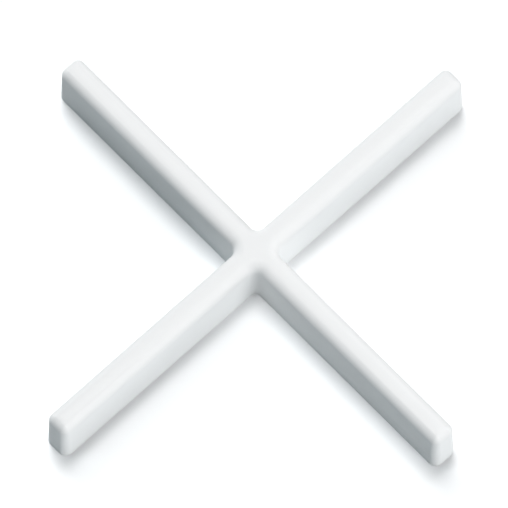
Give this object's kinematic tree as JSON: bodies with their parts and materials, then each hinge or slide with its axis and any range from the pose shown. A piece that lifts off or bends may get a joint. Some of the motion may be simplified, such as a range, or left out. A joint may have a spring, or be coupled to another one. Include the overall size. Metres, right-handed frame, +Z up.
{
  "type": "tile spacer",
  "caption": "Cross-shaped white plastic tile spacer, moulded in one piece, with long narrow arms, drafted sides and a rounded top edge.",
  "frame": {"origin": "middle of the flat underside, under the crossing of the arms", "axes": "arms along X and Y, +Z up out of the rounded top"},
  "size_m": [0.037, 0.037, 0.0044],
  "materials": {
    "white_plastic": "satin"
  },
  "bodies": {
    "root": {"spacer_cross": "white_plastic"}
  },
  "joints": []
}
